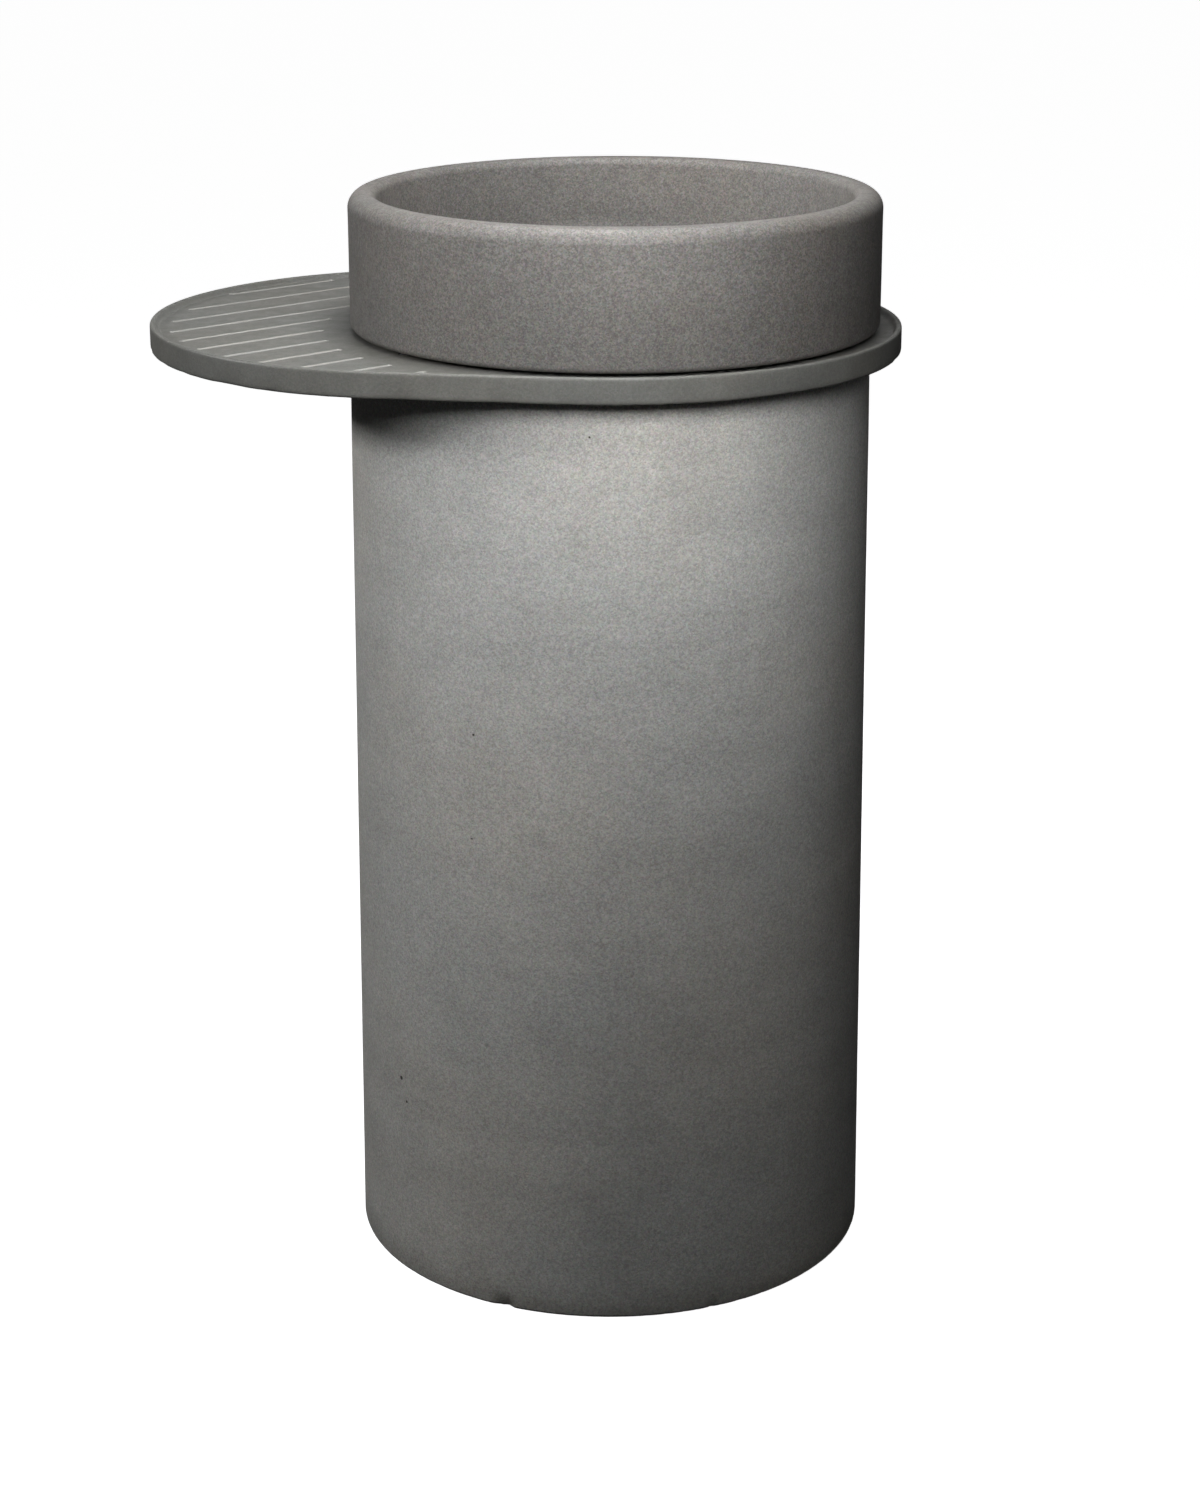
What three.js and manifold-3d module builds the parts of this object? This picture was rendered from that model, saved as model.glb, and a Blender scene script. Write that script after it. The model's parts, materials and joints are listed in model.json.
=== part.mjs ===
// Freestanding round basin: a cast bowl on a drainer tray on a hollow cast pedestal,
// with the pop-up waste, bottle trap, floor waste pipe and fixings that it holds inside.
// Millimetres, +Z up. The group's origin is on the floor, under the middle of the outline.
import * as THREE from "three";
import { mergeVertices } from "three/addons/utils/BufferGeometryUtils.js";
import Module from "manifold-3d";

const wasm = await Module();
wasm.setup();

// ---- driving dimensions ----
const TOTAL_H = 850; // floor to rim
const SEG = 64; // facets round the large castings
const SMALL = 24; // facets round the fittings

const BOWL_R = 205, // outside of the bowl
  BOWL_Z0 = 746, // underside of the bowl
  BOWL_WALL = 22.5, // wall at mid height
  BOWL_FLOOR_Z = 768, // floor at the drain
  BOWL_RIM_OUT = 12, // rim rounding outside
  BOWL_RIM_IN = 7, // rim rounding inside
  BOWL_FOOT_R = 5; // rounding of the bottom edge

const TRAY_R = 225, // both ends of the tray
  TRAY_L = 133.5, // distance between the two end centres
  TRAY_Z0 = 728, // underside
  TRAY_Z1 = 748, // top of the lip
  TRAY_FACE_Z = 743.5, // drained face inside the lip
  LIP_W = 6.5, // lip, with the slope inside it
  GROOVE_W = 5, // drainage grooves
  GROOVE_D = 1.3,
  GROOVE_ANGLE = 50, // degrees from the tray's long axis
  GROOVE_PITCH = 35.6,
  GROOVE_OFFSET = 26.8, // first groove's distance from the pedestal's axis
  GROOVE_CLEAR_R = 221, // grooves stop at this radius round the bowl
  GROOVE_MARGIN = 15, // and this far inside the tray's edge
  GROOVE_MARGIN_BACK = 9; // the hindmost one runs closer to it

const PED_R = 201.5, // at the top
  PED_R_BASE = 206, // at the floor: the mould has a slight draft
  PED_WALL = 28,
  PED_TOP = 726.5,
  ACCESS_W = 190, // service opening in the back
  ACCESS_Z0 = 350,
  ACCESS_Z1 = 670,
  ACCESS_CORNER = 24;

const BOWL_X = 4; // the bowl and its waste stand this far off the pedestal's axis

const DRAIN_R = 23, // hole in the bowl's floor
  TRAY_HOLE_R = 24,
  TUBE_R = 20.9, // outside of the waste's threaded tube
  TUBE_RI = 18.2,
  TRAVEL = 8; // lift of the drain plug

const FIX_R = 187.5; // circle of the tray's screws
const FIX_ANGLES = [45, 135, 225, 315];
const FOOT_ANGLES = [60, 180, 300]; // floor brackets

const PIPE_R = 20, // waste pipe
  PIPE_RI = 17.8,
  PIPE_X = 122, // where the waste pipe drops to the floor
  OUTLET_Z = 592,
  BEND_R = 42;

const SHIFT_X = TRAY_L / 2; // the pedestal stands off the middle of the outline

// ---- helpers ----
const V = (x, y) => new THREE.Vector2(x, y);
const rad = (d) => (d * Math.PI) / 180;

// A closed geometry as a solid, with its faces pointing out.
function solid(geometry) {
  const g = geometry.clone();
  for (const k of Object.keys(g.attributes)) if (k !== "position") g.deleteAttribute(k);
  const m = mergeVertices(g, 1e-4);
  const idx = m.index.array;
  const keep = [];
  for (let i = 0; i < idx.length; i += 3) {
    const [a, b, c] = [idx[i], idx[i + 1], idx[i + 2]];
    if (a !== b && b !== c && a !== c) keep.push(a, b, c);
  }
  const make = (tris) =>
    new wasm.Manifold(
      new wasm.Mesh({
        numProp: 3,
        vertProperties: new Float32Array(m.attributes.position.array),
        triVerts: new Uint32Array(tris),
      }),
    );
  const s = make(keep);
  if (s.volume() > 0) return s;
  const flipped = [];
  for (let i = 0; i < keep.length; i += 3) flipped.push(keep[i], keep[i + 2], keep[i + 1]);
  return make(flipped);
}

function geometryOf(s) {
  const m = s.getMesh(),
    n = m.numProp,
    v = new Float32Array(m.numVert * 3);
  for (let i = 0; i < m.numVert; i++) v.set(m.vertProperties.subarray(i * n, i * n + 3), i * 3);
  const g = new THREE.BufferGeometry();
  g.setAttribute("position", new THREE.BufferAttribute(v, 3));
  g.setIndex(new THREE.BufferAttribute(new Uint32Array(m.triVerts), 1));
  g.computeVertexNormals();
  return g;
}

// A profile of [radius, z] points turned round Z; it closes on itself unless it ends on the axis.
function turned(points, segments = SMALL, phase = 0) {
  const p = points.map(([r, z]) => V(r, z));
  const onAxis = points[0][0] === 0 && points.at(-1)[0] === 0;
  if (!onAxis) p.push(p[0].clone());
  const g = new THREE.LatheGeometry(p, segments, phase);
  g.rotateX(Math.PI / 2); // the lathe's Y axis becomes Z
  return solid(g);
}
const ring = (ri, ro, z0, z1, segments = SMALL) =>
  turned([[ri, z0], [ro, z0], [ro, z1], [ri, z1]], segments);
const rod = (r, z0, z1, segments = SMALL) => turned([[0, z0], [r, z0], [r, z1], [0, z1]], segments);

// Moves a geometry-made solid: rotate about an axis, then translate.
function placed(s, { rx = 0, ry = 0, rz = 0, x = 0, y = 0, z = 0 }) {
  const g = geometryOf(s);
  if (rx) g.rotateX(rad(rx));
  if (ry) g.rotateY(rad(ry));
  if (rz) g.rotateZ(rad(rz));
  g.translate(x, y, z);
  return solid(g);
}

// A plan outline pushed up from z0 to z1.
function slab(points, z0, z1, holes = []) {
  const shape = new THREE.Shape(points.map(([x, y]) => V(x, y)));
  for (const h of holes) shape.holes.push(new THREE.Path(h.map(([x, y]) => V(x, y))));
  const g = new THREE.ExtrudeGeometry(shape, { depth: z1 - z0, bevelEnabled: false, steps: 1 });
  g.translate(0, 0, z0);
  return solid(g);
}
const block = (x0, x1, y0, y1, z0, z1) => slab([[x0, y0], [x1, y0], [x1, y1], [x0, y1]], z0, z1);
const polygon = (r, n, start = 0) =>
  Array.from({ length: n }, (_, i) => {
    const a = start + (i * 2 * Math.PI) / n;
    return [r * Math.cos(a), r * Math.sin(a)];
  });

// Quarter round from angle a0 to a1 (degrees) about [cx, cz].
const arc = (cx, cz, r, a0, a1, n) =>
  Array.from({ length: n + 1 }, (_, i) => {
    const a = rad(a0 + ((a1 - a0) * i) / n);
    return [cx + r * Math.cos(a), cz + r * Math.sin(a)];
  });

// The tray's outline, inset by d: two half circles joined by straight sides.
function stadium(d, n = 32) {
  const r = TRAY_R - d,
    pts = [];
  for (let i = 0; i <= n; i++) {
    const a = rad(-90 + (180 * i) / n);
    pts.push([r * Math.cos(a), r * Math.sin(a)]);
  }
  for (let i = 0; i <= n; i++) {
    const a = rad(90 + (180 * i) / n);
    pts.push([-TRAY_L + r * Math.cos(a), r * Math.sin(a)]);
  }
  return pts;
}

// A solid lofted through outlines that all have the same number of points: [[inset, z], ...].
function loft(levels) {
  const rings = levels.map(([d, z]) => stadium(d).map(([x, y]) => [x, y, z]));
  const n = rings[0].length,
    pos = [],
    idx = [];
  rings.forEach((r) => r.forEach((p) => pos.push(...p)));
  for (let k = 0; k + 1 < rings.length; k++)
    for (let i = 0; i < n; i++) {
      const a = k * n + i,
        b = k * n + ((i + 1) % n);
      idx.push(a, b, b + n, a, b + n, a + n);
    }
  const caps = [
    [0, true],
    [rings.length - 1, false],
  ];
  for (const [k, down] of caps) {
    const tris = THREE.ShapeUtils.triangulateShape(rings[k].map(([x, y]) => V(x, y)), []);
    for (const [a, b, c] of tris) idx.push(...(down ? [k * n + a, k * n + c, k * n + b] : [k * n + a, k * n + b, k * n + c]));
  }
  const g = new THREE.BufferGeometry();
  g.setAttribute("position", new THREE.Float32BufferAttribute(pos, 3));
  g.setIndex(idx);
  return solid(g);
}

// ---- materials ----
const mat = (color, roughness, metalness = 0) =>
  new THREE.MeshStandardMaterial({ color, roughness, metalness });
const CONCRETE = mat(0x7d7a76, 0.85),
  CONCRETE_PED = mat(0x7e807d, 0.88),
  TRAY_MAT = mat(0x77786f, 0.6),
  RUBBER = mat(0x1c1c1c, 0.8),
  BRASS = mat(0xb08d4c, 0.35, 1),
  CHROME = mat(0xc9ccd0, 0.18, 1),
  PLASTIC = mat(0xe7e7e2, 0.45),
  STEEL = mat(0x9a9da0, 0.4, 1),
  SEAL = mat(0x3a3b3a, 0.7);

const group = new THREE.Group();
const base = new THREE.Group();
base.position.x = SHIFT_X;
group.add(base);
const wet = new THREE.Group(); // the bowl and everything below its drain
wet.position.x = BOWL_X;
base.add(wet);
function add(name, s, material, parent = base) {
  const mesh = new THREE.Mesh(geometryOf(s), material);
  mesh.name = name;
  parent.add(mesh);
  return mesh;
}

// ---- bowl: straight-sided vessel with a rounded rim and a dished floor ----
{
  const ri = BOWL_R - BOWL_WALL;
  const profile = [
    [DRAIN_R, BOWL_Z0],
    [BOWL_R - BOWL_FOOT_R, BOWL_Z0],
    ...arc(BOWL_R - BOWL_FOOT_R, BOWL_Z0 + BOWL_FOOT_R, BOWL_FOOT_R, -67.5, 0, 3),
    ...arc(BOWL_R - BOWL_RIM_OUT, TOTAL_H - BOWL_RIM_OUT, BOWL_RIM_OUT, 0, 90, 4),
    ...arc(ri + BOWL_RIM_IN, TOTAL_H - BOWL_RIM_IN, BOWL_RIM_IN, 90, 180, 3),
    ...arc(ri - 1.5 - 30, BOWL_FLOOR_Z + 35.5, 30, 0, -84, 5),
    [100, BOWL_FLOOR_Z + 2.8],
    [35, BOWL_FLOOR_Z],
    [34.5, BOWL_FLOOR_Z - 5],
    [DRAIN_R, BOWL_FLOOR_Z - 5],
  ];
  add("bowl", turned(profile, SEG), CONCRETE, wet);
}

// ---- tray: flat drainer with a raised lip, diagonal grooves and a hole for the waste ----
{
  let tray = loft([
    [2.5, TRAY_Z0],
    [0.7, TRAY_Z0 + 0.8],
    [0, TRAY_Z0 + 2.5],
    [0, TRAY_Z1 - 1.6],
    [0.5, TRAY_Z1 - 0.5],
    [1.6, TRAY_Z1],
  ]);
  const recess = loft([
    [LIP_W + 2, TRAY_FACE_Z],
    [LIP_W, TRAY_FACE_Z + 0.8],
    [4.6, TRAY_Z1 - 0.8],
    [3.8, TRAY_Z1 + 0.01],
    [3.8, TRAY_Z1 + 5],
  ]);
  tray = tray.subtract(recess);
  tray = tray.subtract(placed(rod(TRAY_HOLE_R, TRAY_Z0 - 5, TRAY_Z1 + 5), { x: BOWL_X }));
  // grooves: round-ended slots clipped by the bowl's clearance circle and the tray's edge
  const [dx, dy] = [Math.cos(rad(GROOVE_ANGLE)), Math.sin(rad(GROOVE_ANGLE))];
  const [nx, ny] = [-dy, dx];
  for (let k = -2; k <= 8; k++) {
    const o = GROOVE_OFFSET + k * GROOVE_PITCH;
    const at = (t) => [o * nx + t * dx, o * ny + t * dy];
    const inside = ([x, y]) => {
      const r = TRAY_R - (k === 8 ? GROOVE_MARGIN_BACK : GROOVE_MARGIN);
      const cx = Math.min(0, Math.max(-TRAY_L, x));
      return Math.hypot(x - cx, y) <= r && Math.hypot(x, y) >= GROOVE_CLEAR_R;
    };
    let run = [];
    for (let t = -420; t <= 420; t += 0.5) if (x_ok(at(t))) run.push(t);
    function x_ok(p) {
      return inside(p) && p[0] < -60;
    }
    if (run.length < 20) continue;
    // the first unbroken stretch, on the open side of the bowl
    let end = run[0];
    for (const t of run) if (t - end <= 0.6) end = t;
    const [t0, t1] = [run[0], end];
    const h = GROOVE_W / 2,
      pts = [];
    for (let i = 0; i <= 6; i++) {
      const a = rad(-90 + 30 * i);
      pts.push([t1 - h + h * Math.cos(a), h * Math.sin(a)]);
    }
    for (let i = 0; i <= 6; i++) {
      const a = rad(90 + 30 * i);
      pts.push([t0 + h + h * Math.cos(a), h * Math.sin(a)]);
    }
    const plan = pts.map(([t, s]) => [o * nx + t * dx + s * nx, o * ny + t * dy + s * ny]);
    tray = tray.subtract(slab(plan, TRAY_FACE_Z - GROOVE_D, TRAY_FACE_Z + 1));
  }
  // countersunk holes for the tray's screws, under the bowl
  for (const a of FIX_ANGLES) {
    const hole = turned([
      [0, TRAY_Z0 - 2],
      [3.4, TRAY_Z0 - 2],
      [3.4, TRAY_FACE_Z - 3.4],
      [6.5, TRAY_FACE_Z - 0.2],
      [6.5, TRAY_FACE_Z + 2],
      [0, TRAY_FACE_Z + 2],
    ], 16);
    tray = tray.subtract(placed(hole, { x: FIX_R * Math.cos(rad(a)), y: FIX_R * Math.sin(rad(a)) }));
  }
  add("tray", tray, TRAY_MAT);
}

// ---- pedestal: hollow cylinder, open below, with a service opening in the back ----
{
  const ri = PED_R - PED_WALL;
  let ped = turned([
    [ri, 0],
    [PED_R_BASE - 2, 0],
    [PED_R_BASE, 2],
    [PED_R, PED_TOP - 2],
    [PED_R - 2, PED_TOP],
    [ri, PED_TOP],
  ], SEG);
  const c = ACCESS_CORNER,
    w = ACCESS_W / 2;
  const corner = (cx, cz, a0) => arc(cx, cz, c, a0, a0 + 90, 4);
  const opening = [
    ...corner(w - c, ACCESS_Z0 + c, -90),
    ...corner(w - c, ACCESS_Z1 - c, 0),
    ...corner(-w + c, ACCESS_Z1 - c, 90),
    ...corner(-w + c, ACCESS_Z0 + c, 180),
  ];
  const cutter = placed(slab(opening, 0, 120), { rx: 90, y: 230 }); // a slab through the back wall
  ped = ped.subtract(cutter);
  for (const a of FIX_ANGLES)
    ped = ped.subtract(placed(rod(6.8, PED_TOP - 25, PED_TOP + 4, 16), { x: FIX_R * Math.cos(rad(a)), y: FIX_R * Math.sin(rad(a)) }));
  for (const a of FOOT_ANGLES)
    ped = ped.subtract(placed(rod(6.8, ri - 8, ri + 21, 16), { ry: 90, rz: a, z: 0 }).translate([0, 0, 38]));
  add("pedestal", ped, CONCRETE_PED);
}

// ---- bedding between the castings ----
add("bowl_bedding_ring", ring(150, 178, TRAY_FACE_Z + 0.25, BOWL_Z0 - 0.25, 48), SEAL, wet);
{
  let gasket = ring(177, 198, PED_TOP + 0.25, TRAY_Z0 - 0.25, 48);
  for (const a of FIX_ANGLES)
    gasket = gasket.subtract(placed(rod(4, PED_TOP - 3, TRAY_Z0 + 3, 12), { x: FIX_R * Math.cos(rad(a)), y: FIX_R * Math.sin(rad(a)) }));
  add("tray_gasket", gasket, SEAL);
}

// ---- tray screws and their inserts in the pedestal's top ----
FIX_ANGLES.forEach((a, i) => {
  const at = { x: FIX_R * Math.cos(rad(a)), y: FIX_R * Math.sin(rad(a)) };
  const insert = turned([
    [3.3, PED_TOP - 23],
    [6.3, PED_TOP - 23],
    [6.3, PED_TOP - 14],
    [5.5, PED_TOP - 13],
    [5.5, PED_TOP - 10],
    [6.3, PED_TOP - 9],
    [6.3, PED_TOP - 0.3],
    [3.3, PED_TOP - 0.3],
  ], 16);
  add(`tray_insert_${i + 1}`, placed(insert, at), BRASS);
  let screw = turned([
    [0, PED_TOP - 20],
    [2.2, PED_TOP - 20],
    [3, PED_TOP - 18.5],
    [3, TRAY_FACE_Z - 3.4],
    [5.8, TRAY_FACE_Z - 0.6],
    [5.8, TRAY_FACE_Z - 0.3],
    [0, TRAY_FACE_Z - 0.3],
  ], 16);
  screw = screw.subtract(slab(polygon(2, 6), TRAY_FACE_Z - 2.6, TRAY_FACE_Z + 1));
  add(`tray_screw_${i + 1}`, placed(screw, at), STEEL);
});

// ---- waste: threaded brass body through bowl and tray, clamped from below ----
const FLANGE_Z = BOWL_FLOOR_Z; // top of the flange, flush with the floor
add("flange_seal", ring(23.5, 32.5, FLANGE_Z - 4.75, FLANGE_Z - 3.25), RUBBER, wet);
{
  let body = turned([
    [TUBE_R, 640],
    [TUBE_R, FLANGE_Z - 5.5],
    [TUBE_R + 1.6, FLANGE_Z - 3],
    [33.5, FLANGE_Z - 3],
    [33.5, FLANGE_Z - 0.8],
    [32.8, FLANGE_Z],
    [29, FLANGE_Z],
    [26.5, FLANGE_Z - 1.7],
    [21, FLANGE_Z - 1.8],
    [TUBE_RI, FLANGE_Z - 4],
    [TUBE_RI, 640],
  ], 32);
  // three-arm spider that carries the click cartridge
  let spider = ring(4.3, 7.6, 727, 734, 16);
  for (const a of [30, 150, 270]) spider = spider.add(placed(block(6.6, TUBE_RI + 1, -2, 2, 727.5, 733.5), { rz: a }));
  body = body.add(spider.subtract(rod(4.3, 720, 740, 16)));
  add("waste_body", body, BRASS, wet);
}
add("clamp_washer", ring(22, 34, TRAY_Z0 - 4, TRAY_Z0 - 0.25), RUBBER, wet);
add("slip_washer", ring(21.6, 33, TRAY_Z0 - 5.6, TRAY_Z0 - 4.25), PLASTIC, wet);
{
  let nut = slab(polygon(31.5, 6), 709, TRAY_Z0 - 7.5).add(rod(32.5, TRAY_Z0 - 8.5, TRAY_Z0 - 5.85));
  nut = nut.subtract(rod(TUBE_R + 0.5, 700, 730));
  add("backnut", nut, BRASS, wet);
}

// ---- drain plug and its push-push cartridge ----
{
  // barrel on a threaded foot that stands in the spider
  const barrel = turned([
    [0, 723],
    [4, 723],
    [4, 734.3],
    [7.8, 734.3],
    [7.8, 757],
    [3.5, 757],
    [3.5, 755],
    [6.9, 755],
    [6.9, 737],
    [0, 737],
  ], 16);
  add("click_cartridge", barrel, CHROME, wet);
  // coil spring that lifts the stem's collar
  const turns = 4,
    z0 = 737.8,
    z1 = 743.9,
    r = 5.4,
    pts = [];
  for (let i = 0; i <= turns * 10; i++) {
    const a = (i * 2 * Math.PI) / 10;
    pts.push(new THREE.Vector3(r * Math.cos(a), r * Math.sin(a), z0 + ((z1 - z0) * i) / (turns * 10)));
  }
  const wire = new THREE.Shape(polygon(0.42, 6).map(([x, y]) => V(x, y)));
  const coil = new THREE.ExtrudeGeometry(wire, {
    steps: turns * 10,
    bevelEnabled: false,
    extrudePath: new THREE.CatmullRomCurve3(pts),
  });
  add("plug_spring", solid(coil), STEEL, wet);
  // stem with a collar inside the barrel and a plate under the cap
  const stem = turned([
    [0, 739.5],
    [2.6, 739.5],
    [2.6, 744.6],
    [6.4, 744.6],
    [6.4, 746.4],
    [3, 746.4],
    [3, 763.5],
    [19.9, 766.6],
    [19.9, 768.6],
    [0, 768.6],
  ], 24);
  add("plug_stem", stem, CHROME, wet);
  add("plug_seal", turned([
    [20.3, 766.6],
    [26.2, 766.6],
    [27.8, 768],
    [27.8, 768.5],
    [20.3, 768.5],
  ]), RUBBER, wet);
  add("plug_cap", turned([
    [0, 768.9],
    [30.5, 768.9],
    [31.5, 769.9],
    [31.5, 772.8],
    [30.4, 774.5],
    [24, 775.8],
    [12, 776.6],
    [0, 776.8],
  ], 32), CONCRETE, wet);
}

// ---- bottle trap ----
const TRAP_TOP = 655;
{
  // inlet nut grips the waste tube against the trap's socket
  const nut = turned([
    [TUBE_R + 0.4, 672],
    [TUBE_R + 0.4, 662.6],
    [26, 660.2],
    [26, 645],
    [30, 645],
    [30, 668],
    [28.5, 672],
  ], 24);
  let ribbed = nut;
  for (let i = 0; i < 12; i++) ribbed = ribbed.add(placed(block(29, 31.4, -2.2, 2.2, 645.5, 666), { rz: i * 30 }));
  add("trap_inlet_nut", ribbed, PLASTIC, wet);
  add("trap_inlet_washer", turned([
    [TUBE_R + 0.5, TRAP_TOP + 0.3],
    [25.4, TRAP_TOP + 0.3],
    [25.4, TRAP_TOP + 4],
    [TUBE_R + 0.5, TRAP_TOP + 6],
  ]), RUBBER, wet);
  // body: socket, shoulder, bottle and side outlet
  let body = turned([
    [TUBE_R + 0.5, TRAP_TOP],
    [TUBE_R + 0.5, 637],
    [18.4, 637],
    [18.4, 628],
    [32.5, 624],
    [33, 534.5],
    [36, 534.5],
    [36, 620],
    [25.6, 632],
    [25.6, TRAP_TOP],
  ], 32);
  const boss = placed(rod(24, 20, 64, 24), { ry: 90, z: OUTLET_Z });
  const inner = rod(32.7, 530, 621, 32);
  body = body.add(boss.subtract(inner));
  body = body.subtract(placed(rod(16.5, 22, 50, 24), { ry: 90, z: OUTLET_Z }));
  body = body.subtract(placed(rod(PIPE_R + 0.4, 46, 80, 24), { ry: 90, z: OUTLET_Z }));
  add("trap_body", body, PLASTIC, wet);
  add("trap_dip_tube", turned([
    [16, 503],
    [17.9, 503],
    [17.9, 637.3],
    [21, 637.3],
    [21, 639.6],
    [16, 639.6],
  ]), PLASTIC, wet);
  // cup that unscrews for cleaning
  let cup = turned([
    [0, 480],
    [34, 480],
    [38.5, 484],
    [40, 490],
    [40, 560],
    [36.7, 560],
    [36.7, 531.2],
    [32.4, 531.2],
    [32.4, 492],
    [28, 484.5],
    [0, 484.5],
  ], 32);
  for (let i = 0; i < 16; i++) cup = cup.add(placed(block(39, 41.6, -2, 2, 530, 558), { rz: i * 22.5 }));
  add("trap_cup", cup, PLASTIC, wet);
  add("trap_cup_seal", turned([
    [33.3, 531.5],
    [36.3, 531.5],
    [36.3, 534.2],
    [33.3, 534.2],
  ], 32), RUBBER, wet);
}

// ---- outlet: nut, washer, swept bend, pipe to the floor and its collar ----
{
  const turn = { ry: 90, z: OUTLET_Z };
  let nut = turned([
    [PIPE_R + 0.6, 78],
    [PIPE_R + 0.6, 70],
    [24.4, 68],
    [24.4, 54],
    [28.6, 54],
    [28.6, 75],
    [27, 78],
  ], 24);
  for (let i = 0; i < 12; i++) nut = nut.add(placed(block(27.6, 30, -2.2, 2.2, 54.5, 73), { rz: i * 30 }));
  add("outlet_nut", placed(nut, turn), PLASTIC, wet);
  add("outlet_washer", placed(ring(PIPE_R + 0.5, 24, 64.3, 67.5), turn), RUBBER, wet);

  // swept bend with a socket on its lower end
  const path = new THREE.CurvePath();
  const x1 = PIPE_X - BEND_R,
    z1 = OUTLET_Z - BEND_R;
  const pts = [];
  const line = (a, b, n) => {
    for (let i = 0; i < n; i++) pts.push(a.clone().lerp(b, i / n));
  };
  line(new THREE.Vector3(48, 0, OUTLET_Z), new THREE.Vector3(x1, 0, OUTLET_Z), 2);
  for (let i = 0; i <= 8; i++) {
    const a = rad(90 - (90 * i) / 8);
    pts.push(new THREE.Vector3(x1 + BEND_R * Math.cos(a), 0, z1 + BEND_R * Math.sin(a)));
  }
  pts.push(new THREE.Vector3(PIPE_X, 0, 541));
  class Route extends THREE.Curve {
    getPoint(t, target = new THREE.Vector3()) {
      const u = t * (pts.length - 1),
        i = Math.min(pts.length - 2, Math.floor(u));
      return target.copy(pts[i]).lerp(pts[i + 1], u - i);
    }
    getPointAt(t, target) {
      return this.getPoint(t, target);
    }
    getTangentAt(t, target = new THREE.Vector3()) {
      const e = 0.5 / (pts.length - 1);
      return target
        .copy(this.getPoint(Math.min(1, t + e)))
        .sub(this.getPoint(Math.max(0, t - e)))
        .normalize();
    }
  }
  const sweep = (r, n) =>
    solid(
      new THREE.ExtrudeGeometry(new THREE.Shape(polygon(r, n).map(([x, y]) => V(x, y))), {
        steps: pts.length - 1,
        bevelEnabled: false,
        extrudePath: new Route(),
      }),
    );
  // run the inside a little past both ends so that it opens the tube
  let bend = sweep(PIPE_R, 20);
  const sock = placed(
    turned([
      [0, 495],
      [23.6, 495],
      [25.2, 496.5],
      [25.2, 507],
      [23.6, 509],
      [23.6, 540],
      [19.8, 545],
      [0, 545],
    ]),
    { x: PIPE_X },
  );
  bend = bend.add(sock);
  const bore = sweep(PIPE_RI - 0.2, 20);
  bend = bend.subtract(bore);
  bend = bend.subtract(placed(rod(PIPE_RI - 0.2, 40, 60, 20), { ry: 90, z: OUTLET_Z }));
  bend = bend.subtract(placed(rod(PIPE_RI - 0.2, 530, 548), { x: PIPE_X }));
  bend = bend.subtract(placed(rod(PIPE_R + 0.4, 480, 536), { x: PIPE_X }));
  bend = bend.subtract(placed(ring(PIPE_R - 2, 22.4, 499.5, 504.5), { x: PIPE_X }));
  add("outlet_bend", bend, PLASTIC, wet);
  add("pipe_seal", placed(ring(PIPE_R + 0.3, 22.1, 499.8, 504.2), { x: PIPE_X }), RUBBER, wet);
  add("floor_pipe", placed(ring(PIPE_RI, PIPE_R, 0, 535), { x: PIPE_X }), PLASTIC, wet);
  add("floor_collar", placed(turned([
    [PIPE_R + 0.4, 0],
    [44, 0],
    [44, 2],
    [40, 4.5],
    [26, 8],
    [PIPE_R + 0.4, 8],
  ]), { x: PIPE_X }), PLASTIC, wet);
}

// ---- floor brackets, their bolts and the inserts in the pedestal's wall ----
FOOT_ANGLES.forEach((a, i) => {
  const face = PED_R - PED_WALL - 1.9; // back of the bracket's upright
  let bracket = block(face - 4, face, -20, 20, 0, 62).add(block(face - 48, face, -20, 20, 0, 4));
  bracket = bracket.subtract(placed(rod(4.6, face - 20, face + 20, 16), { ry: 90, z: 38 }));
  const slot = [];
  for (let k = 0; k <= 6; k++) slot.push([face - 22 + 4.6 * Math.cos(rad(-90 + 30 * k)), 4.6 * Math.sin(rad(-90 + 30 * k))]);
  for (let k = 0; k <= 6; k++) slot.push([face - 34 + 4.6 * Math.cos(rad(90 + 30 * k)), 4.6 * Math.sin(rad(90 + 30 * k))]);
  bracket = bracket.subtract(slab(slot, -2, 8));
  add(`floor_bracket_${i + 1}`, placed(bracket, { rz: a }), STEEL);
  const hex = slab(polygon(7.5, 6), face - 4.3 - 5.3, face - 4.3);
  const bolt = hex.add(rod(4, face - 5, face + 18, 16));
  add(`bracket_bolt_${i + 1}`, placed(placed(bolt, { ry: 90 }), { rz: a, z: 38 }), STEEL);
  const wall = PED_R - PED_WALL;
  const insert = turned([
    [4.3, wall + 0.2],
    [6.3, wall + 0.2],
    [6.3, wall + 8],
    [5.5, wall + 9],
    [5.5, wall + 11],
    [6.3, wall + 12],
    [6.3, wall + 20],
    [4.3, wall + 20],
  ], 16);
  add(`wall_insert_${i + 1}`, placed(placed(insert, { ry: 90 }), { rz: a, z: 38 }), BRASS);
});

export default group;
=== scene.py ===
import json, math
import bpy, bmesh
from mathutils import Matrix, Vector, noise


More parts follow.
